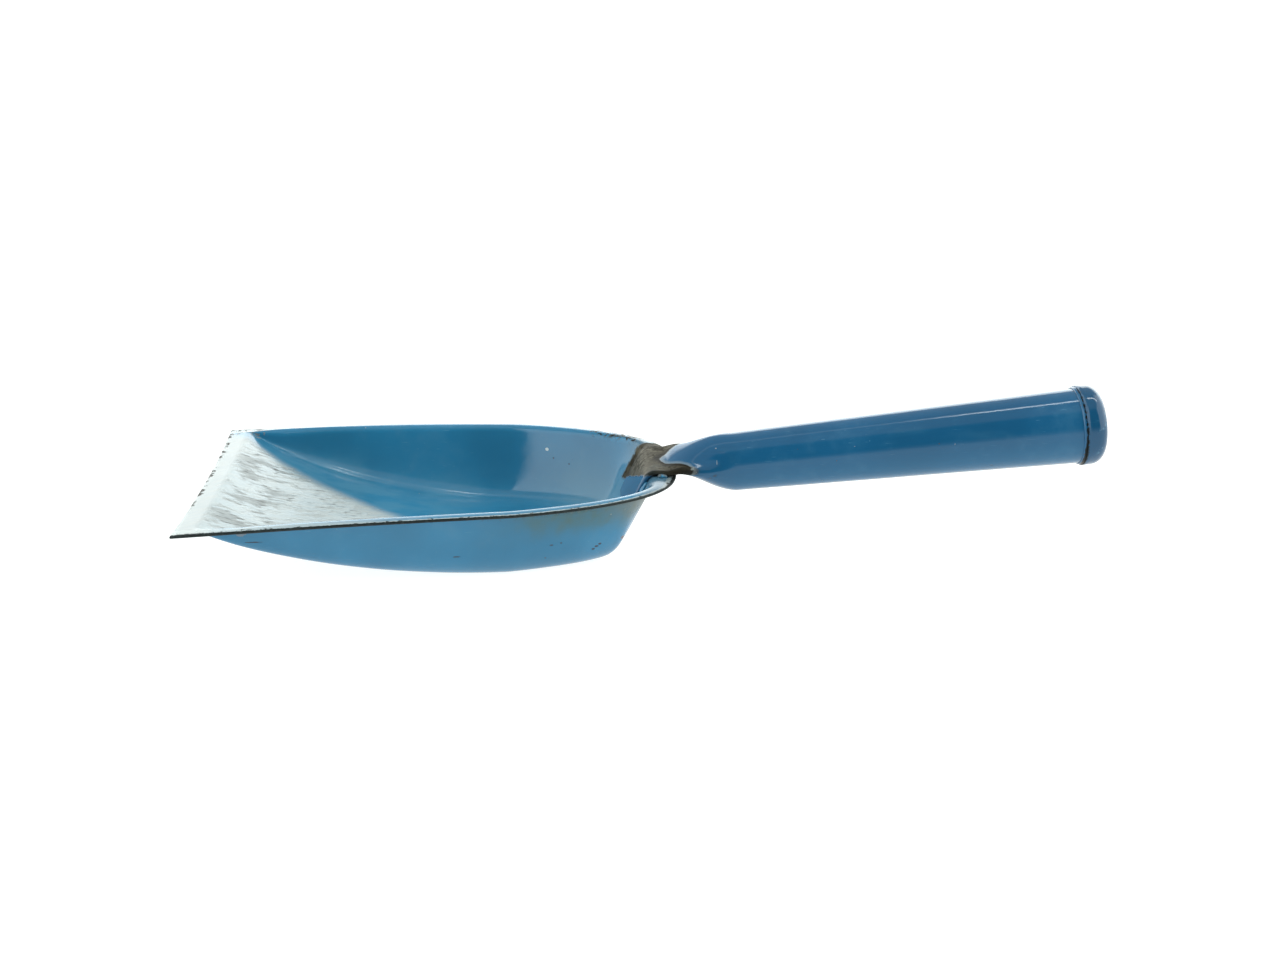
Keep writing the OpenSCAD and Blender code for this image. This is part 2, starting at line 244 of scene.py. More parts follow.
class PanForm:
    """The pressed form of the pan: its rim from above, and its section at any column round it."""

    def __init__(self, sizes):
        take_in_mm(self, sizes, "reach mouth_w waist_w waist_x rim_rise depth sheet lip_w lip_bow level_x"
                                " flange_w shelf_w flange_drop ripple")
        self.side_draft, self.back_draft = sizes.side_draft, sizes.back_draft
        self.floor_z = self.sheet - self.depth

    def rim_z(self, x):
        return self.rim_rise * (1 - (1 - min(x / RIM_TOP_X, 1)) ** 2)

    def drop_at(self, x):
        return self.flange_drop * min(x / DROP_X, 1)

    def bed_z(self, x):
        if x < self.lip_w:
            return self.rim_z(x) + self.drop_at(x)
        lip = self.rim_z(self.lip_w) + self.drop_at(self.lip_w)
        t = min((x - self.lip_w) / (self.level_x - self.lip_w), 1)
        return lip + (self.floor_z - lip) * (1 - (1 - t ** RAMP_START) ** RAMP_POWER)

    def on_side(self, i):
        return i <= SIDE_COLUMNS or i >= COLUMNS - SIDE_COLUMNS

    def turn(self, i):
        return 0 if self.on_side(i) else pi * (i - SIDE_COLUMNS) / BACK_COLUMNS

    def rim(self, i):
        """The rim's outer edge, seen from above."""
        if self.on_side(i):
            x = self.waist_x * min(i, COLUMNS - i) / SIDE_COLUMNS
            half = (self.mouth_w + (self.waist_w - self.mouth_w) * (x / self.waist_x) ** SIDE_POWER) / 2
            return Vector((x, half if i > COLUMNS / 2 else -half))
        across = cos(self.turn(i))
        out = (1 - abs(across) ** BACK_POWER_Y) ** (1 / BACK_POWER_X)
        return Vector((mix(self.waist_x, self.reach, out), -across * self.waist_w / 2))

    def spine(self, i):
        """The end of a column on the floor's middle line."""
        return Vector((self.rim(i).x if self.on_side(i) else self.waist_x, 0))

    def wall_in(self, i, down):
        """How far in from the rim's edge the wall is, at a depth below the rim."""
        side = self.flange_w + down * tan(self.side_draft)
        if self.on_side(i):
            return side
        rim, spine = self.rim(i), self.spine(i)
        inward = (spine - rim).normalized()
        back = (rim.x - (self.reach - self.shelf_w) + down * tan(self.back_draft)) / -inward.x
        return smooth_max(side, back, CORNER_BLEND * sin(self.turn(i)))

    def section(self, i):
        """Down one column: distance in from the rim's edge and height, from the edge to the middle line."""
        rim = self.rim(i)
        run = (self.spine(i) - rim).length
        drop = self.drop_at(rim.x)
        top = self.rim_z(rim.x) + drop
        fall = top - self.bed_z(rim.x if self.on_side(i) else self.level_x)
        flange = self.wall_in(i, 0)
        bend = min(RIM_BEND, 0.35 * fall + 0.3)
        back = sin(self.turn(i))
        mouth = Vector((flange, top))
        foot = Vector((self.wall_in(i, fall) + 2 * bend * max(1 - fall, 0), top - fall))
        slope = (foot - mouth).normalized()
        bend_in = Vector((flange - bend, top - drop * bend / flange))
        bend_out = mouth + bend * slope
        heel = bend_out + mix(SIDE_STRAIGHT, BACK_STRAIGHT, back ** STRAIGHT_POWER) * (foot - bend_out)
        full = self.rim_rise + self.flange_drop - self.floor_z
        fillet = mix(SIDE_FILLET, BACK_FILLET, back ** FILLET_POWER) * (0.25 + 0.75 * fall / full)
        toe = foot + Vector((fillet, 0))
        edge = Vector((0, top - drop))
        end = Vector((run, toe.y))
        return (
            [edge.lerp(bend_in, t) for t in (0, 0.25, 0.6)]
            + [curve(bend_in, mouth, bend_out, 1, k / RIM_ROWS) for k in range(RIM_ROWS + 1)]
            + [bend_out.lerp(heel, t) for t in (0.33, 0.66)]
            + [curve(heel, foot, toe, FILLET_PULL, k / FILLET_ROWS) for k in range(FILLET_ROWS + 1)]
            + [toe.lerp(end, k / FLOOR_ROWS) for k in range(1, FLOOR_ROWS + 1)]
        )

    def point(self, i, s):
        """A section's point in its place, with the hollow of the front edge and the ripple put in."""
        rim = self.rim(i)
        flat = rim + s.x * (self.spine(i) - rim).normalized()
        hollow = 1 - min(abs(flat.y) / (self.mouth_w / 2), 1) ** 2
        fade = max(1 - flat.x / (3 * self.lip_w), 0)
        x, y, z = flat.x + self.lip_bow * hollow * fade, flat.y, s.y
        clear = smooth((s.x - 5) / 8) * smooth(((self.reach - self.shelf_w - 14) - x) / 8)
        z += self.ripple * clear * uneven((x, y, 0), 17) * smooth((z - self.floor_z) / 4 + 0.15)
        nick = max(uneven((x, y, 7), 3.1) - 0.18, 0) * max(1 - s.x / 1.5, 0) * max(1 - x / 6, 0)
        return x + 1.1 * nick, y, z


def pan_mesh(form):
    """The sheet's upper face, given its thickness, with the rim's edge rounded.

    Each point also carries its distance in from the rim's edge, and its skin: 0 above and 1 below.
    """
    bm = bmesh.new()
    order = bm.verts.layers.int.new("order")
    rim_gap = bm.verts.layers.float.new("rim_gap")
    skin = bm.verts.layers.float.new("skin")
    steps = [k / COLUMN_SPLIT for k in range(COLUMNS * COLUMN_SPLIT + 1)]
    sections = [form.section(i) for i in steps]
    loft(bm, [[placed(*form.point(i, s)) for s in section] for i, section in zip(steps, sections)])
    gaps = [s.x for s in sections[len(sections) // 4]]
    for v in bm.verts:
        v[rim_gap] = gaps[v[order]]
    bmesh.ops.remove_doubles(bm, verts=bm.verts[:], dist=1e-6)
    bmesh.ops.recalc_face_normals(bm, faces=bm.faces[:])
    if sum(f.normal.z for f in bm.faces) < 0:
        bmesh.ops.reverse_faces(bm, faces=bm.faces[:])
    upper = []
    for k, v in enumerate(bm.verts):
        v[order] = k
        upper.append(v.co.copy())
    bmesh.ops.solidify(bm, geom=bm.faces[:], thickness=form.sheet * MM)
    for v in bm.verts:
        v[skin] = 1.0 if (v.co - upper[v[order]]).length > form.sheet * MM / 2 else 0.0
    for v in bm.verts:
        v.co.z = max(v.co.z, 0.0)
    bm.normal_update()
    rim_faces = {f for f in bm.faces if len({round(v[skin]) for v in f.verts}) == 2}
    rim_edges = [e for e in bm.edges if sum(f in rim_faces for f in e.link_faces) == 1]
    bmesh.ops.bevel(bm, geom=rim_edges, offset=0.36 * form.sheet * MM, offset_type="OFFSET", segments=3,
                    affect="EDGES", profile=0.5, material=-1)
    return bm


# ---- The handle ----

TOUCH = 0.05
TIP_R = 3
OPEN_TOP_X, OPEN_LOW_X = 153, 157
TUBE_IN_CAP = 2.6
FLARE_CROWN = 0.9
FLARE_POWER = 2.4
TIP_ROWS, TONGUE_ROWS, BEND_ROWS, FLARE_ROWS, TUBE_ROWS = 6, 6, 12, 36, 30


class HandleForm:
    """The rolled handle: a tongue and shelf pressed flat, a flare, and a tapered tube."""

    def __init__(self, sizes, pan):
        take_in_mm(self, sizes, "overall front_r rear_r sheet tang_w tongue neck_x neck_z cap_h shoulder_r"
                                " crown_r cap_sheet braze weld")
        self.slope = sizes.slope
        self.corners = sizes.round_corners
        self.axis_l = (self.overall - self.neck_x - self.crown_r) / cos(self.slope) + self.crown_r
        self.seam_l = self.axis_l - self.cap_h
        self.tube_l = self.seam_l + TUBE_IN_CAP
        self.cap_r = self.grip_r(self.tube_l) + TOUCH + self.cap_sheet
        self.tang_t = 2 * self.sheet
        shelf = pan.wall_in(COLUMNS / 2, 0)
        self.fall = atan(pan.flange_drop / shelf)
        self.out = Vector((cos(self.fall), -sin(self.fall)))
        self.up = Vector((sin(self.fall), cos(self.fall)))
        self.down = Vector((-sin(pan.back_draft), -cos(pan.back_draft)))
        self.off = Vector((-cos(pan.back_draft), sin(pan.back_draft)))
        self.lift = TOUCH + self.tang_t / 2
        bend = tan((pi / 2 - pan.back_draft + self.fall) / 2)
        pan_corner = Vector((pan.reach - shelf, pan.rim_rise + pan.flange_drop))
        self.corner = pan_corner + self.lift * self.up - self.lift * bend * self.out
        self.bend_reach = RIM_BEND + self.lift * bend - 0.3

    def axis_at(self, along):
        return Vector((self.neck_x + along * cos(self.slope), self.neck_z + along * sin(self.slope)))

    def grip_r(self, along):
        return mix(self.front_r, self.rear_r, along / self.tube_l)

    def flare(self, x):
        """Middle, half width, half height and share of the flare, as the tang opens into the tube."""
        t = (x - OPEN_TOP_X) / (self.neck_x - OPEN_TOP_X)
        u = max(x - OPEN_LOW_X, 0) / (self.neck_x - OPEN_LOW_X)
        rise = 1 - (1 - t) ** FLARE_POWER
        opened = (u + smooth(u)) / 2
        flat = self.corner.y - tan(self.fall) * (x - self.corner.x)
        axis = self.neck_z + tan(self.slope) * (x - self.neck_x)
        top = mix(flat + self.tang_t / 2, axis + self.front_r, rise)
        low = mix(flat - self.tang_t / 2, axis - self.front_r, opened)
        return Vector((x, (top + low) / 2)), mix(self.tang_w / 2, self.front_r, opened), (top - low) / 2, t

    def stations(self):
        """Middle point, half width, half height, share of the flare and heading, from the tip to the cap."""
        found = []
        for k in range(TIP_ROWS + 1):
            d = TIP_R * (k / TIP_ROWS) ** 2
            half = self.tang_w / 2 - TIP_R + sqrt(max(TIP_R ** 2 - (TIP_R - d) ** 2, 0))
            found.append((self.corner + (self.tongue - d) * self.down, half, self.tang_t / 2, 0))
        straight = self.tongue - TIP_R
        for k in range(1, TONGUE_ROWS):
            d = mix(straight, self.bend_reach, k / TONGUE_ROWS)
            found.append((self.corner + d * self.down, self.tang_w / 2, self.tang_t / 2, 0))
        start, end = self.corner + self.bend_reach * self.down, self.corner + self.bend_reach * self.out
        for k in range(BEND_ROWS + 1):
            middle = curve(start, self.corner, end, 1, k / BEND_ROWS)
            found.append((middle, self.tang_w / 2, self.tang_t / 2, 0))
        flat = len(found)
        for k in range(FLARE_ROWS + 1):
            found.append(self.flare(mix(OPEN_TOP_X, self.neck_x, k / FLARE_ROWS)))
        for k in range(1, TUBE_ROWS + 1):
            along = self.tube_l * k / TUBE_ROWS
            found.append((self.axis_at(along), self.grip_r(along), self.grip_r(along), 1))
        rings = []
        for k, (middle, half_w, half_h, opened) in enumerate(found):
            if k <= flat:
                way = found[min(k + 1, len(found) - 1)][0] - found[max(k - 1, 0)][0]
                heading = atan2(way.y, way.x)
            else:
                heading = mix(-self.fall, self.slope, min((middle.x - OPEN_TOP_X) / (self.neck_x - OPEN_TOP_X), 1))
            rings.append((middle, half_w, half_h, opened, heading))
        return rings

    def ring(self, middle, half_w, half_h, opened, heading):
        """A section: flat with round edges in the tang, then crowned in the middle, then round."""
        points = []
        layer = self.tang_t / 2
        crown = 0.5 + FLARE_CROWN * (1 - opened) ** 1.5
        for c in range(self.corners):
            a = 2 * pi * (c + 0.5) / self.corners
            y, rise = half_w * cos(a), abs(sin(a))
            inset = min(half_w - abs(y), layer)
            flat = sqrt(layer ** 2 - (layer - inset) ** 2)
            high = mix(flat, layer * rise, opened) + (half_h - layer) * rise ** (2 * crown if sin(a) > 0 else 1)
            up = high if sin(a) > 0 else -high
            x, z = middle.x - up * sin(heading), middle.y + up * cos(heading)
            soft = smooth((middle.x - self.neck_x + 12) / 14) * smooth((self.overall - 14 - middle.x) / 6)
            swell = 1 + 0.006 * soft * uneven((x, y, z), 21, 4)
            points.append(placed(mix(middle.x, x, swell), y * swell, mix(middle.y, z, swell)))
        return points

    def cap_outline(self, inset):
        """The cap's outline from its seam to its crown, moved inwards: radius and height."""
        lean = asin((self.cap_r - self.shoulder_r) / (self.crown_r - self.shoulder_r))
        shoulder_h = self.cap_h - self.crown_r + (self.crown_r - self.shoulder_r) * cos(lean)
        line = [(self.cap_r - inset, 0.0), (self.cap_r - inset, shoulder_h / 2)]
        for k in range(13):
            a = (pi / 2 - lean) * k / 12
            line.append((self.cap_r - self.shoulder_r + (self.shoulder_r - inset) * cos(a),
                         shoulder_h + (self.shoulder_r - inset) * sin(a)))
        for k in range(1, 15):
            a = lean * (1 - k / 14)
            line.append(((self.crown_r - inset) * sin(a),
                         self.cap_h - self.crown_r + (self.crown_r - inset) * cos(a)))
        return line

    def stand(self, bm, along):
        """Sets what was made round the upright axis on the handle's axis, at a distance from the neck."""
        at = self.axis_at(along)
        bmesh.ops.rotate(bm, verts=bm.verts[:], cent=(0, 0, 0), matrix=Matrix.Rotation(pi / 2 - self.slope, 3, "Y"))
        bmesh.ops.translate(bm, verts=bm.verts[:], vec=placed(at.x, 0, at.y))


def spun(outline):
    """A closed outline of radius and height, spun into a ring or a dome."""
    bm = bmesh.new()
    chain = [bm.verts.new((r * MM, 0, h * MM)) for r, h in outline]
    edges = [bm.edges.new(pair) for pair in zip(chain, chain[1:] + chain[:1])]
    bmesh.ops.spin(bm, geom=chain + edges, cent=(0, 0, 0), axis=(0, 0, 1), angle=2 * pi, steps=128, use_merge=True)
    bmesh.ops.remove_doubles(bm, verts=bm.verts[:], dist=1e-6)
    bmesh.ops.dissolve_degenerate(bm, edges=bm.edges[:], dist=1e-7)
    bmesh.ops.recalc_face_normals(bm, faces=bm.faces[:])
    return bm


def weld_sections(form, run, up, start, end, side):
    """A bead in the corner between the tang's edge and the face that it lies on, fading at both ends."""
    edge = form.tang_w / 2 + TOUCH
    steps, sections = 36, []
    for k in range(steps + 1):
        t = k / steps
        foot = form.corner + mix(start, end, t) * run - (form.lift - 2 * TOUCH) * up
        ripple = 1 + 0.16 * sin(26 * t * (end - start) / 12) + 0.10 * uneven((foot.x, side * 9, foot.y), 1.3)
        leg = form.weld * sqrt(max(1 - (2 * t - 1) ** 4, 0.04)) * min(ripple, 1.0)
        row = []
        for a in (0, 12, 25, 38, 52, 65, 78, 90, 225):
            reach = 0 if a > 90 else leg
            p = foot + reach * sin(radians(a)) * up
            row.append(placed(p.x, side * (edge + reach * cos(radians(a))), p.y))
        sections.append(row)
    return sections


# ---- Finishes ----

HANDLE_IOR = 1.43
RUN_BROWN = (0.26, 0.19, 0.11, 1.0)

# Marks of wear, and dents whose shade is painted as a dark spot: the centre of each, from the front lip,
# across and above the lip, and its reach along the same three directions, in mm.
LIP_CORNER_MARKS = (((5, 50, 0), (9, 3.5, 3)),)
FAR_FLANGE_MARKS = (((137, 31, 4.4), (11, 9, 3)),)
RUST_RUNS = (((20.4, -48.7, -1.2), (1.6, 3, 1.0)),)
PAN_DENT_SHADES = (
    ((24, -48, -4.4), (2.6, 3, 0.22)), ((85.4, -41.6, -12.3), (1.3, 2, 0.22)),
    ((115, -37.8, -10.2), (0.6, 2, 0.25)), ((118, -36.8, -9.8), (0.35, 2, 0.3)),
    ((128.4, -32, -14), (0.6, 2, 0.42)), ((129.4, -31.3, -13.1), (0.6, 2, 0.45)),
    ((130.4, -30.7, -12.3), (0.5, 2, 0.4)), ((113, -37, -15), (0.3, 2, 0.25)),
    ((116, 37.4, -6), (0.3, 2, 0.3)), ((121.5, 35.2, -7.5), (0.35, 2, 0.25)),
)
RUST_CHIPS = (((137.8, -25.2, -12), (0.6, 2, 0.8)),)
PALE_CHIPS = (((113.7, 38.9, -3.1), (0.6, 2, 0.6)),)
HANDLE_NICKS = (
    ((161.1, -13, 6.5), (0.45, 3, 0.3)), ((162.6, -13, 5.4), (0.3, 3, 0.2)),
    ((169.5, -10.5, 7.9), (0.16, 2, 0.7)), ((248, -11.4, 14.1), (0.18, 2, 0.35)),
    ((215, -10.6, 13.0), (0.2, 2, 0.15)),
)
HANDLE_DENT_SHADES = (
    ((168.9, -11.2, 3.4), (0.8, 2, 0.5)), ((261.5, -9.1, 5.9), (0.6, 3, 0.3)),
    ((205, -8, 0.2), (0.4, 3, 0.25)), ((167.4, -11.5, 2.6), (0.5, 2, 0.3)),
)


class Value:
    """A number or colour somewhere in a finish. Sums on it add Math nodes."""

    def __init__(self, finish, socket):
        self.finish, self.socket = finish, socket

    def sum(self, operation, a, b=0.0):
        return self.finish.node("ShaderNodeMath", {"operation": operation}, {0: a, 1: b})

    def __add__(self, other): return self.sum("ADD", self, other)
    def __radd__(self, other): return self.sum("ADD", other, self)
    def __sub__(self, other): return self.sum("SUBTRACT", self, other)
    def __rsub__(self, other): return self.sum("SUBTRACT", other, self)
    def __mul__(self, other): return self.sum("MULTIPLY", self, other)
    def __rmul__(self, other): return self.sum("MULTIPLY", other, self)
    def __truediv__(self, other): return self.sum("DIVIDE", self, other)
    def __rtruediv__(self, other): return self.sum("DIVIDE", other, self)
    def __pow__(self, other): return self.sum("POWER", self, other)
    def __abs__(self): return self.sum("ABSOLUTE", self)
    def least(self, other): return self.sum("MINIMUM", self, other)
    def most(self, other): return self.sum("MAXIMUM", self, other)


class Finish:
    """A node tree that is written as sums, with the enamel's own patterns."""

    def __init__(self, tree):
        self.tree = tree
        tree.nodes.clear()

    def node(self, kind, settings, sockets, out=0):
        made = self.tree.nodes.new(kind)
        for name, value in settings.items():
            setattr(made, name, value)
        for name, value in sockets.items():
            if isinstance(value, Value):
                self.tree.links.new(value.socket, made.inputs[name])
            else:
                made.inputs[name].default_value = value
        return Value(self, made.outputs[out]) if made.outputs else made

    def band(self, value, start, end):
        """0 at start, 1 at end, and smooth between them."""
        return self.node("ShaderNodeMapRange", {"interpolation_type": "SMOOTHSTEP"}, {0: value, 1: start, 2: end})

    def between(self, value, low, high, soft):
        return self.band(value, low - soft, low + soft) * self.band(value, high + soft, high - soft)

    def colour(self, a, b, share):
        return self.node("ShaderNodeMix", {"data_type": "RGBA"}, {0: share, 6: a, 7: b}, out=2)

    def vector(self, operation, a, b=(0, 0, 0)):
        return self.node("ShaderNodeVectorMath", {"operation": operation}, {0: a, 1: b})

    def joined(self, x, y, z):
        return self.node("ShaderNodeCombineXYZ", {}, {0: x, 1: y, 2: z})

    def length_of(self, vector):
        return self.node("ShaderNodeVectorMath", {"operation": "LENGTH"}, {0: vector}, out="Value")

    def axes(self, vector):
        return [self.node("ShaderNodeSeparateXYZ", {}, {0: vector}, out=k) for k in range(3)]

    def clouds(self, place, size, detail=2.0, stretch=(1, 1, 1), seed=0.0):
        """Smooth noise from 0 to 1, with patches about size mm across, longer where stretch is above 1."""
        at = self.vector("MULTIPLY", self.vector("ADD", place, (seed, seed * 1.7, -seed)),
                         [1 / (size * s) for s in stretch])
        return self.node("ShaderNodeTexNoise", {}, {"Vector": at, "Scale": 1.0, "Detail": detail})

    def flecks(self, place, size, seed):
        """Distance from the nearest of many scattered points, as a share of size mm, and a number for each."""
        at = self.vector("MULTIPLY", self.vector("ADD", place, (seed, -seed, seed * 1.3)), [1 / size] * 3)
        cell = self.node("ShaderNodeTexVoronoi", {}, {"Vector": at, "Scale": 1.0})
        shade = Value(self, cell.socket.node.outputs["Color"])
        return cell, self.axes(shade)[0]

    def spots(self, place, edge, ragged, marks):
        """Spots at the marks. The noise, edge, frays them."""
        found = None
        for centre, reach in marks:
            near = self.length_of(self.vector("DIVIDE", self.vector("SUBTRACT", place, centre), reach))
            spot = self.band(near + (edge - 0.5) * 2 * ragged, 1.08, 0.86)
            found = spot if found is None else found.most(spot)
        return found


class Coat:
    """What has been laid on so far: colour, roughness, height in mm, and how bare the metal is."""

    def __init__(self, finish, colour, rough, height):
        self.finish, self.colour, self.rough, self.height, self.metal = finish, colour, rough, height, 0.0

    def cover(self, mask, colour=None, rough=None, sink=0.0, metal=0.0):
        f = self.finish
        if colour is not None:
            self.colour = f.colour(self.colour, colour, mask)
        if rough is not None:
            self.rough = self.rough + (rough - self.rough) * mask
        if metal:
            self.metal = self.metal + (metal - self.metal) * mask
        if sink:
            self.height = self.height - mask * sink


def rgba(colour):
    return (*colour[:3], 1.0)


def shade_of(colour, share):
    return tuple(c * share for c in colour[:3]) + (1.0,)


def begin(name):
    """A new material with its place in mm: from the lip, across, and above the lip."""
    material = bpy.data.materials.new(name)
    material.use_nodes = True
    f = Finish(material.node_tree)
    scene = bpy.context.scene
    local = f.node("ShaderNodeTexCoord", {}, {}, out="Object")
    place = f.node("ShaderNodeMapping", {}, {
        "Vector": local, "Scale": (1 / MM,) * 3,
        "Location": (scene.scoop_handle.overall / 2 / MM, 0, -scene.scoop_pan.depth / MM)})
    return material, f, place


def finish_with(f, coat, ior=1.5):
    bump = f.node("ShaderNodeBump", {}, {"Strength": 1.0, "Distance": MM, "Height": coat.height})
    shader = f.node("ShaderNodeBsdfPrincipled", {}, {
        "Base Color": coat.colour, "Roughness": coat.rough, "Metallic": coat.metal, "IOR": ior, "Normal": bump})
    f.node("ShaderNodeOutputMaterial", {}, {"Surface": shader})


def enamel(f, place, look, sound, seed):
    """Sound enamel: a slightly uneven blue with orange peel, fine scratches, rubbed patches and pinholes."""
    broad = f.clouds(place, 34, 3, seed=seed)
    small = f.clouds(place, 5.5, 4, seed=seed + 5)
    blue = f.colour(shade_of(sound, 0.93), shade_of(sound, 1.12), f.band(broad, 0.3, 0.7))
    blue = f.colour(blue, rgba(look.pale), f.band(small * 0.5 + broad * 0.5, 0.50, 0.74) * 0.16)
    peel = f.clouds(place, 2.6, 2, seed=seed + 9)
    rough = look.gloss + f.band(small, 0.4, 0.8) * 0.05
    coat = Coat(f, blue, rough, peel * 0.022 + small * 0.012)
    along = f.clouds(place, 0.42, 2, stretch=(26, 1, 1), seed=seed + 13)
    across = f.clouds(place, 0.36, 2, stretch=(3, 16, 5), seed=seed + 17)
    rubbed = f.band(broad + small * 0.4, 0.62, 0.84)
    scratch = (f.band(along, 0.69, 0.76) + f.band(across, 0.74, 0.80)).least(1.0) * (0.25 + rubbed * 0.75)
    coat.cover(scratch * (0.34 * look.wear), shade_of(look.pale, 1.3), 0.34, 0.006)
    near, luck = f.flecks(place, 4.2, seed)
    pin = f.band(near, 0.07, 0.04) * f.band(luck, 0.86, 0.88)
    coat.cover(pin, rgba(look.steel), 0.4, 0.02)
    light_near, light_luck = f.flecks(place, 6.1, seed + 3)
    fleck = f.band(light_near + (small - 0.5) * 0.06, 0.06, 0.03) * f.band(light_luck, 0.88, 0.90)
    coat.cover(fleck * 0.5, rgba(look.grey), 0.4, 0.01)
    return coat, small


def pan_finish(look, form):
    material, f, place = begin("pan_enamel")
    coat, small = enamel(f, place, look, look.blue, 3)
    x, y, z = f.axes(place)
    gap = f.node("ShaderNodeAttribute", {"attribute_name": "rim_gap"}, {}, out="Fac")
    skin = f.node("ShaderNodeAttribute", {"attribute_name": "skin"}, {}, out="Fac")
    inside = f.band(skin, 0.5, 0.3)
    outside = f.band(skin, 0.7, 0.9)
    fine = f.clouds(place, 1.1, 3, seed=21)
    coarse = f.clouds(place, 9, 3, stretch=(1.6, 1, 1), seed=31)
    # The floor is dulled by grain, most of all on the ramp, and is also painted paler there as if lit from above
    floor = inside * f.band(gap, 6, 14)
    dulled_and_lit = floor * f.band(x, 118, 60) * (0.35 + 0.65 * f.band(coarse, 0.35, 0.65))
    coat.cover(dulled_and_lit * 0.55, rgba(look.pale), 0.16)
    # Painted reflection: the back of the inside is painted paler, as it mirrors the lit wall behind
    coat.cover(inside * f.band(gap, 5, 10) * f.band(x + (coarse - 0.5) * 16, 104, 128) * 0.6, rgba(look.pale), 0.12)
    # Painted light: the bottom of the outside is painted paler, as if lit from the floor below
    coat.cover(outside * f.band(z + (coarse - 0.5) * 4, -13, -20) * 0.22, rgba(look.pale))
    # The mouth is scoured by shovelling, in streaks that run inwards and a little across from the lip
    swept = f.joined(x, y - x * 0.5, 0.0)
    streak = f.clouds(swept, 1.9, 3, stretch=(3, 1, 1), seed=41)
    thin = f.clouds(swept, 1.0, 3, stretch=(3.6, 1, 1), seed=43)
    level = inside * f.band(gap, 9, 15).most(f.band(x, 14, 8))
    mouth = level * f.band(x + 1.6 * (y - 6).most(0) + (coarse - 0.5) * 5, 73, 60)
    coat.cover(mouth * (0.78 + 0.14 * f.band(streak, 0.4, 0.6)), rgba(look.grey), 0.2)
    coat.cover(mouth * f.band(x, 10, 6) * 0.5, shade_of(look.grey, 0.5), 0.24)
    patch = mouth * f.band(coarse * 0.5 + streak * 0.35 + thin * 0.15, 0.48, 0.55) * f.between(x, 9, 25, 3)
    coat.cover(patch * (0.5 + 0.4 * f.band(thin, 0.4, 0.6)), shade_of(look.grey, 0.42), 0.45, 0.01)
    dull = mouth * f.band(streak * 0.6 + fine * 0.4, 0.53, 0.60) * f.between(x, 8, 70, 8)
    coat.cover(dull * 0.5, shade_of(look.grey, 0.5), 0.42, 0.006)
    dark = mouth * f.band(thin, 0.595, 0.64) * f.between(x, 9, 62, 5) * f.band(coarse, 0.38, 0.52)
    coat.cover(dark * 0.85, shade_of(look.grey, 0.16), 0.5, 0.012)
    # The ramp is very slightly dished across
    coat.height = coat.height + floor * f.between(x, 26, 86, 14) * y.least(24) * 0.06
    # Bare, chipped steel along the rim's edge
    line = gap + (fine - 0.5) * 0.9
    worn = inside * f.band(line, 1.1, 0.7).most(f.band(line, 2.9, 2.2) * f.band(x + (coarse - 0.5) * 20, 84, 50))
    coat.cover(worn * 0.75, shade_of(look.grey, 1.1), 0.3)
    rubbed = inside * f.between(line, 1.3, 4.8, 0.4) * f.band(x, 30, 60) * f.band(x, 140, 130)
    coat.cover(rubbed * 0.5, shade_of(look.blue, 0.9), 0.42)
    shelf = inside * f.band(line, 9, 6) * f.band(x, 138, 148)
    coat.cover(shelf * 0.5, shade_of(look.grey, 0.3), 0.3)
    edge = f.band(line, 0.42, 0.22)
    face = f.band(skin + (fine - 0.5) * 0.3, 0.02, 0.14) * f.band(skin + (small - 0.5) * 0.9, 0.80, 0.62)
    bare = edge.most(face * f.band(gap, 0.6, 0.4))
    coat.cover(bare, rgba(look.steel), 0.45, 0.03, 1.0)
    flaked = f.band(gap + (f.clouds(place, 2.4, 3, seed=51) - 0.5) * 5, 0.7, 0.2) * f.band(fine, 0.5, 0.56)
    coat.cover(flaked, shade_of(look.steel, 1.4), 0.55, 0.03, 1.0)
    under = outside * f.band(gap + (small - 0.5) * 5, 2.4, 1.2) * f.band(fine, 0.4, 0.52)
    coat.cover(under * 0.8, shade_of(look.steel, 1.5), 0.5, 0.02, 0.8)
    front = x - (1 - (y / (form.mouth_w / 2)) ** 2) * form.lip_bow
    chip = f.clouds(place, 2.6, 3, seed=61)
    lip = f.band(front + (fine - 0.5) * 2 - (chip - 0.5) * 9, 0.9, 0.4) * f.band(chip, 0.50, 0.54)
    coat.cover(lip * f.band(y, -36, -24), rgba(look.scorch), 0.5, 0.03, 1.0)
    corner = inside * f.spots(place, small, 0.5, LIP_CORNER_MARKS) * f.band(fine * 0.5 + chip * 0.5, 0.48, 0.55)
    coat.cover(corner * 0.8, shade_of(look.grey, 0.35), 0.5, 0.02)
    # Flaked brown patches on the flange at the far side of the back, and beside the tang
    far = inside * f.spots(place, small, 0.5, FAR_FLANGE_MARKS) * f.band(gap, 5.5, 3.5)
    coat.cover(far * f.band(fine * 0.6 + small * 0.4, 0.46, 0.54), rgba(look.burnt), 0.5, 0.02, 1.0)
    coat.cover(far * f.band(fine, 0.56, 0.60), rgba(look.scorch), 0.6, 0.02, 1.0)
    ragged = (small - 0.5) * 7 + (fine - 0.5) * 2
    beside = f.band(y + ragged * 0.6, 24, 22.5) * f.band(y, 8, 9) * f.band(z + ragged * 0.5, -8.6, -7.6)
    burn = inside * beside * f.band(x, 137, 138)
    coat.cover(burn, rgba(look.burnt), 0.62, 0.02, 1.0)
    coat.cover(burn * f.band(small, 0.52, 0.62), shade_of(look.burnt, 0.55), 0.75, 0.01)
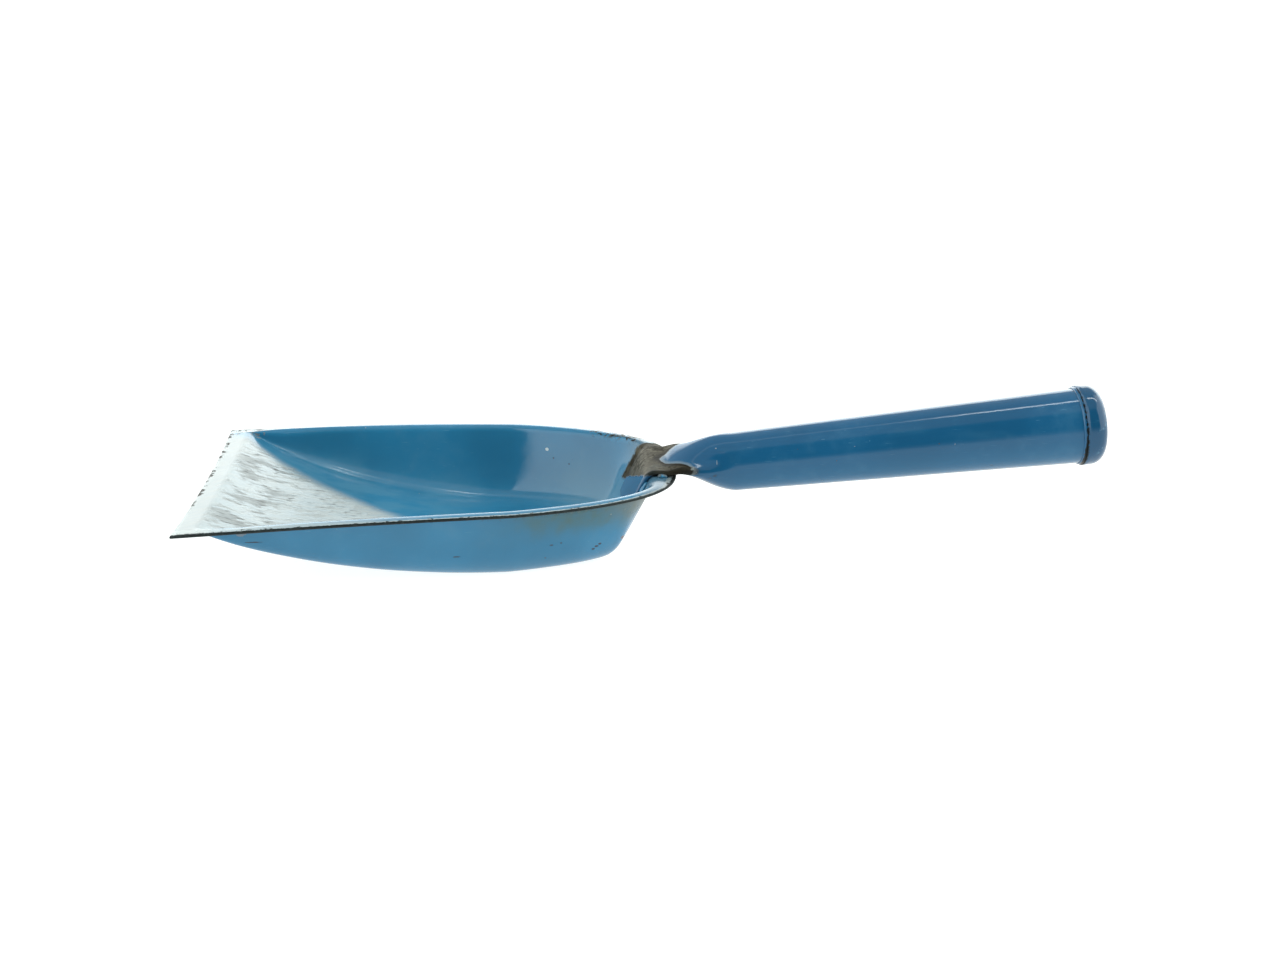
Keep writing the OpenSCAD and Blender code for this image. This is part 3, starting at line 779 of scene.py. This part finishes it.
    # Stains under the rim towards the back, painted shade in dark patches just under the rim, and a rust run near
    # the front
    back = f.band(x + (coarse - 0.5) * 30, 84, 130)
    stain = outside * f.band(z + (small - 0.5) * 4 + (coarse - 0.5) * 5, -11, 2) * back
    coat.cover(stain * (0.6 + 0.3 * f.band(small, 0.4, 0.62)), rgba(look.olive), 0.3)
    brown = outside * f.band(z + (small - 0.5) * 4, -9, 1) * f.band(x, 128, 148)
    coat.cover(brown * 0.6, shade_of(look.burnt, 2.4), 0.4)
    # Painted shade: dark patches on the outside just under the rim, where the flange overhangs the wall, mixed with
    # scuffs
    rim_shade_and_scuffs = outside * f.band(z + (fine - 0.5) * 3, 0.4, 2.6) * f.band(coarse * 0.6 + fine * 0.4, 0.42, 0.56)
    coat.cover(rim_shade_and_scuffs * 0.7, shade_of(look.steel, 1.2), 0.4)
    coat.cover(f.spots(place, fine, 0.7, RUST_RUNS) * 0.4, RUN_BROWN, 0.5)
    # Painted shade: each dent is painted as a dark blue spot, and sunk a little
    coat.cover(f.spots(place, fine, 0.5, PAN_DENT_SHADES) * 0.92, shade_of(look.deep, 0.22), 0.3, 0.03)
    coat.cover(f.spots(place, fine, 0.6, RUST_CHIPS) * 0.7, shade_of(look.rust, 0.8), 0.6)
    coat.cover(f.spots(place, fine, 0.4, PALE_CHIPS), shade_of(look.grey, 1.6), 0.3)
    finish_with(f, coat)
    return material


def handle_finish(look, form):
    material, f, place = begin("handle_enamel")
    coat, small = enamel(f, place, look, look.deep, 47)
    x, y, z = f.axes(place)
    fine = f.clouds(place, 1.1, 3, seed=71)
    ragged = (small - 0.5) * 3 + (fine - 0.5) * 1.2
    # The tang is burnt bare to a V behind the bend, and along its folded edges
    near_side = (0 - y - 1).most(0) / 9
    far_side = (y + 1).most(0) / 13
    border = 151.4 + near_side ** 1.7 * 6 + far_side ** 1.5 * 9
    bare = f.band(x - border + ragged * 0.5, 0.5, -0.5)
    folded = f.band(abs(y) + (fine - 0.5) * 0.8, 12.3, 12.9) * f.band(x + ragged, 165, 160)
    drawn = z + 0.35 * y + 0.3 + ragged * 0.6
    burnt = (bare.most(folded)) * f.band(drawn, -0.4, 0.4).most(f.band(x, 147.5, 148.5))
    coat.cover(burnt, rgba(look.burnt), 0.62, 0.02, 1.0)
    coat.cover(burnt * f.band(small * 0.5 + fine * 0.5, 0.48, 0.6), shade_of(look.burnt, 0.6), 0.75, 0.02)
    coat.cover(burnt * f.band(f.clouds(place, 2.2, 4, seed=83), 0.54, 0.64), shade_of(look.burnt, 1.5), 0.6)
    rim = burnt * f.band(x - border + ragged * 0.6, -3.6, -0.8)
    coat.cover((rim * 0.92).most(burnt * folded * 0.85), rgba(look.scorch), 0.6, 0.02)
    coat.cover(f.band(x - border + ragged * 0.5, 2.4, 0.6) * (1 - bare) * 0.35, shade_of(look.grey, 0.9), 0.3)
    coat.cover(f.spots(place, fine, 0.8, HANDLE_NICKS) * 0.38, shade_of(look.grey, 1.1), 0.3, 0.01)
    # Painted shade: each dent in the handle is painted as a dark blue spot, and sunk a little
    coat.cover(f.spots(place, fine, 0.6, HANDLE_DENT_SHADES) * 0.9, shade_of(look.deep, 0.3), 0.35, 0.03)
    rubbed = f.band(f.clouds(place, 13, 3, stretch=(2.5, 1, 1), seed=91), 0.55, 0.75)
    coat.cover(rubbed * 0.12, rgba(look.pale), 0.16)
    # The underside is painted paler, as if lit from the floor below, and the neck is slightly hollow on top
    axis = form.neck_z + tan(form.slope) * (x - form.neck_x)
    coat.cover(f.band(z - axis, 5, -9) * f.band(x, 152, 164) * 0.34, rgba(look.blue))
    coat.height = coat.height + f.between(x, 151, 172, 5) * f.band(z - axis, 0, 5) * y * 0.17
    finish_with(f, coat, HANDLE_IOR)
    return material


def from_seam(f, place, form):
    """How far past the cap's seam, along the handle, and how high above the axis there, in mm."""
    seam = form.axis_at(form.seam_l)
    x, _, z = f.axes(f.vector("SUBTRACT", place, (seam.x, 0, seam.y)))
    return x * cos(form.slope) + z * sin(form.slope), z


def cap_finish(look, form):
    material, f, place = begin("cap_enamel")
    coat, small = enamel(f, place, look, shade_of(look.deep, 0.85), 101)
    along, z = from_seam(f, place, form)
    fine = f.clouds(place, 1.0, 3, seed=111)
    low = f.band(z, 12, -12)
    chipped = f.band(along + (fine - 0.5) * 1.6, 0.55, 0.25) * f.band(fine + low * 0.16, 0.52, 0.60)
    coat.cover(chipped, rgba(look.steel), 0.5, 0.03, 1.0)
    shoulder = f.between(along, 3.4, 6.4, 0.8) * f.band(f.clouds(place, 2.4, 3, seed=121), 0.56, 0.66)
    coat.cover(shoulder * 0.5, rgba(look.pale), 0.3, 0.01)
    worn = f.band(along, 5.8, 7.2) * f.band(small, 0.5, 0.66)
    coat.cover(worn * 0.25, rgba(look.pale), 0.2)
    finish_with(f, coat, HANDLE_IOR)
    return material


def seam_finish(look, form):
    material, f, place = begin("seam_braze")
    coat = enamel(f, place, look, look.deep, 131)[0]
    along, z = from_seam(f, place, form)
    fine = f.clouds(place, 1.5, 3, seed=141)
    low = f.band(z, 4, -11)
    crack = f.band(along + (fine - 0.5) * 0.8 + low * 0.5, -0.6, -0.3) * f.band(fine + low * 0.3, 0.42, 0.50)
    coat.cover(crack, shade_of(look.steel, 0.6), 0.4, 0.04, 1.0)
    coat.cover(f.band(f.clouds(place, 0.9, 3, seed=151), 0.66, 0.74), shade_of(look.rust, 0.2), 0.6, 0.03)
    finish_with(f, coat, HANDLE_IOR)
    return material


def weld_finish(look):
    material, f, place = begin("tang_weld")
    coat = enamel(f, place, look, look.blue, 161)[0]
    fine = f.clouds(place, 1.2, 3, seed=171)
    _, y, z = f.axes(place)
    coat.cover(f.band(z + 0.35 * y + (fine - 0.5) * 6, -1.5, 0.5) * 0.9, rgba(look.burnt), 0.55, 0.02)
    coat.cover(f.band(fine, 0.56, 0.66), shade_of(look.steel, 1.4), 0.6, 0.03)
    finish_with(f, coat)
    return material


# ---- Operators ----

def handle_form(scene):
    return HandleForm(scene.scoop_handle, PanForm(scene.scoop_pan))


class SCOOP_OT_pan(bpy.types.Operator):
    """Make the pressed pan with its rolled-out rim"""
    bl_idname = "scoop.pan"
    bl_label = "Pan"

    def execute(self, context):
        form = PanForm(context.scene.scoop_pan)
        finished(pan_mesh(form), "pan", pan_finish(context.scene.scoop_finish, form), "scoop_pan")
        return {"FINISHED"}


class SCOOP_OT_handle(bpy.types.Operator):
    """Make the rolled handle with its flattened tang"""
    bl_idname = "scoop.handle"
    bl_label = "Handle"

    def execute(self, context):
        scene = context.scene
        form = handle_form(scene)
        bm = bmesh.new()
        loft(bm, [form.ring(*station) for station in form.stations()], ring=True)
        close_ends(bm)
        bmesh.ops.recalc_face_normals(bm, faces=bm.faces[:])
        finished(bm, "handle", handle_finish(scene.scoop_finish, form), "handle_tube")
        return {"FINISHED"}


class SCOOP_OT_cap(bpy.types.Operator):
    """Make the domed end cap"""
    bl_idname = "scoop.cap"
    bl_label = "End cap"

    def execute(self, context):
        scene = context.scene
        form = handle_form(scene)
        bm = spun(form.cap_outline(0) + form.cap_outline(form.cap_sheet)[::-1])
        form.stand(bm, form.seam_l)
        finished(bm, "end_cap_dome", cap_finish(scene.scoop_finish, form), "end_cap")
        return {"FINISHED"}


class SCOOP_OT_seam(bpy.types.Operator):
    """Make the brazed bead round the cap's seam"""
    bl_idname = "scoop.seam"
    bl_label = "Cap seam"

    def execute(self, context):
        scene = context.scene
        form = handle_form(scene)
        seat = form.grip_r(form.seam_l) + TOUCH
        arc = [(seat + form.braze * cos(pi / 2 * k / 8), -TOUCH - 2 * form.braze * sin(pi / 2 * k / 8))
               for k in range(9)]
        bm = spun([(seat, -TOUCH)] + arc)
        for v in bm.verts:
            out = hypot(v.co.x, v.co.y)
            proud = out - seat * MM
            if proud > 0.02 * MM:
                share = 0.86 + 0.12 * uneven(v.co / MM, 3.5, 6)
                v.co.x *= (seat * MM + proud * share) / out
                v.co.y *= (seat * MM + proud * share) / out
        form.stand(bm, form.seam_l)
        finished(bm, "cap_seam", seam_finish(scene.scoop_finish, form), "cap_seam_braze")
        return {"FINISHED"}


class SCOOP_OT_welds(bpy.types.Operator):
    """Make the weld beads along both edges of the tang"""
    bl_idname = "scoop.welds"
    bl_label = "Tang welds"

    def execute(self, context):
        scene = context.scene
        form = handle_form(scene)
        bm = bmesh.new()
        for side in (-1, 1):
            loft(bm, weld_sections(form, form.out, form.up, form.bend_reach, OPEN_TOP_X - form.corner.x, side), True)
            loft(bm, weld_sections(form, form.down, form.off, form.tongue - TIP_R, form.bend_reach, side), True)
        close_ends(bm)
        bmesh.ops.recalc_face_normals(bm, faces=bm.faces[:])
        finished(bm, "welds", weld_finish(scene.scoop_finish), "tang_welds")
        return {"FINISHED"}


# The floor's own light, in front of the scoop and under it, and where it changes, in metres across
FLOOR_FAR, FLOOR_NEAR = (0.66, 0.67, 0.67, 1.0), (0.98, 1.0, 0.995, 1.0)
FLOOR_FADE = (-0.9, -0.14)
TENT_WHITE = (0.96, 1.0, 0.985, 1.0)
SEEN_LEVEL = 1.15


class SCOOP_OT_stage(bpy.types.Operator):
    """Make the pale floor, the soft light and the camera"""
    bl_idname = "scoop.stage"
    bl_label = "Stage"

    def execute(self, context):
        scene = context.scene
        stage = scene.scoop_stage
        bm = bmesh.new()
        bmesh.ops.create_grid(bm, x_segments=8, y_segments=8, size=stage.floor_w / 2)
        mesh = bpy.data.meshes.new("floor")
        bm.to_mesh(mesh)
        bm.free()
        material = bpy.data.materials.new("floor_paint")
        material.use_nodes = True
        f = Finish(material.node_tree)
        place = f.node("ShaderNodeTexCoord", {}, {}, out="Object")
        mottle = f.node("ShaderNodeTexNoise", {}, {"Vector": place, "Scale": 3.0, "Detail": 3.0})
        paint = f.colour(shade_of(stage.floor_tint, 0.99), rgba(stage.floor_tint), mottle)
        fade = f.band(f.axes(place)[1], *FLOOR_FADE)
        lit = f.colour(FLOOR_FAR, FLOOR_NEAR, fade)
        shader = f.node("ShaderNodeBsdfPrincipled", {}, {
            "Base Color": paint, "Roughness": 0.8, "Emission Color": lit,
            "Emission Strength": stage.floor_glow})
        f.node("ShaderNodeOutputMaterial", {}, {"Surface": shader})
        mesh.materials.append(material)
        floor = bpy.data.objects.new("floor", mesh)
        scene.collection.objects.link(floor)
        self.light(scene, stage)
        self.camera(scene, stage)
        scene.view_settings.view_transform = "Standard"
        return {"FINISHED"}

    def light(self, scene, stage):
        """A light tent: bright behind, softer at the sides and above, and open at the front."""
        world = bpy.data.worlds.new("tent")
        world.use_nodes = True
        scene.world = world
        f = Finish(world.node_tree)
        x, y, z = f.axes(f.node("ShaderNodeTexCoord", {}, {}, out="Generated"))
        turn = f.node("ShaderNodeMath", {"operation": "ARCTAN2"}, {0: x, 1: y}) * (180 / pi)
        rise = f.node("ShaderNodeMath", {"operation": "ARCSINE"}, {0: z}) * (180 / pi)
        # Each wall of the tent is a range of headings (turn) and of heights (rise), in degrees
        behind = f.band(abs(turn), 56, 44) * f.band(rise, 31, 25)
        beside = f.band(abs(turn + 7), 148, 144) * f.band(abs(turn), 44, 56) * f.band(rise, 62, 54)
        roof = f.band(rise, 24, 34) * (1 - beside) * f.band(abs(turn), 120, 100).most(f.band(rise, 56, 64))
        lamp = (f.band(abs(y - z * 0.14), 0.04, 0.025) * f.band(abs(x - 0.1), 0.55, 0.45) * f.band(z, 0.5, 0.6)
                * (0.1 + 0.9 * f.band(x, 0.03, 0.09)))
        light = (behind * stage.back_light + beside * stage.side_light + roof * stage.top_light
                 + (1 - behind.most(beside).most(roof)) * (stage.front_light + 0.6 * f.band(rise, 12, -1))
                 + lamp * stage.lamp_light)
        seen = f.node("ShaderNodeLightPath", {}, {}, out="Is Camera Ray")
        level = light * (1 - seen) + seen * SEEN_LEVEL
        glow = f.node("ShaderNodeBackground", {}, {"Color": TENT_WHITE, "Strength": level})
        f.node("ShaderNodeOutputWorld", {}, {"Surface": glow})

    def camera(self, scene, stage):
        data = bpy.data.cameras.new("camera")
        data.lens = stage.lens
        data.sensor_width = 36
        data.clip_start, data.clip_end = 0.01, 50
        camera = bpy.data.objects.new("camera", data)
        scene.collection.objects.link(camera)
        ahead = (Vector(stage.aim_at) - Vector(stage.camera_at)).normalized()
        level = ahead.cross(Vector((0, 0, 1))).normalized()
        upright = level.cross(ahead)
        right = level * cos(stage.roll) + upright * sin(stage.roll)
        up = right.cross(ahead)
        turned = Matrix((right, up, -ahead)).transposed().to_4x4()
        camera.matrix_world = Matrix.Translation(stage.camera_at) @ turned
        scene.camera = camera


class SCOOP_PT_parts(bpy.types.Panel):
    """The scoop's pieces, sizes and colours"""
    bl_idname = "SCOOP_PT_parts"
    bl_label = "Grain scoop"
    bl_space_type = "VIEW_3D"
    bl_region_type = "UI"
    bl_category = "Scoop"

    def draw(self, context):
        layout = self.layout
        for name, group in GROUPS:
            box = layout.box()
            box.label(text=name[6:].capitalize())
            for prop in group.__annotations__:
                box.prop(getattr(context.scene, name), prop)
        for operator in OPERATORS:
            layout.operator(operator.bl_idname)


GROUPS = (("scoop_pan", ScoopPanSizes), ("scoop_handle", ScoopHandleSizes), ("scoop_finish", ScoopFinish),
          ("scoop_stage", ScoopStage))
OPERATORS = (SCOOP_OT_pan, SCOOP_OT_handle, SCOOP_OT_cap, SCOOP_OT_seam, SCOOP_OT_welds, SCOOP_OT_stage)


def register():
    for name, group in GROUPS:
        bpy.utils.register_class(group)
        setattr(bpy.types.Scene, name, PointerProperty(type=group))
    for made in (*OPERATORS, SCOOP_PT_parts):
        bpy.utils.register_class(made)


def unregister():
    for made in (SCOOP_PT_parts, *reversed(OPERATORS)):
        bpy.utils.unregister_class(made)
    for name, group in reversed(GROUPS):
        delattr(bpy.types.Scene, name)
        bpy.utils.unregister_class(group)


def main():
    register()
    for make in (bpy.ops.scoop.pan, bpy.ops.scoop.handle, bpy.ops.scoop.cap, bpy.ops.scoop.seam,
                 bpy.ops.scoop.welds, bpy.ops.scoop.stage):
        make()


if __name__ == "__main__":
    main()
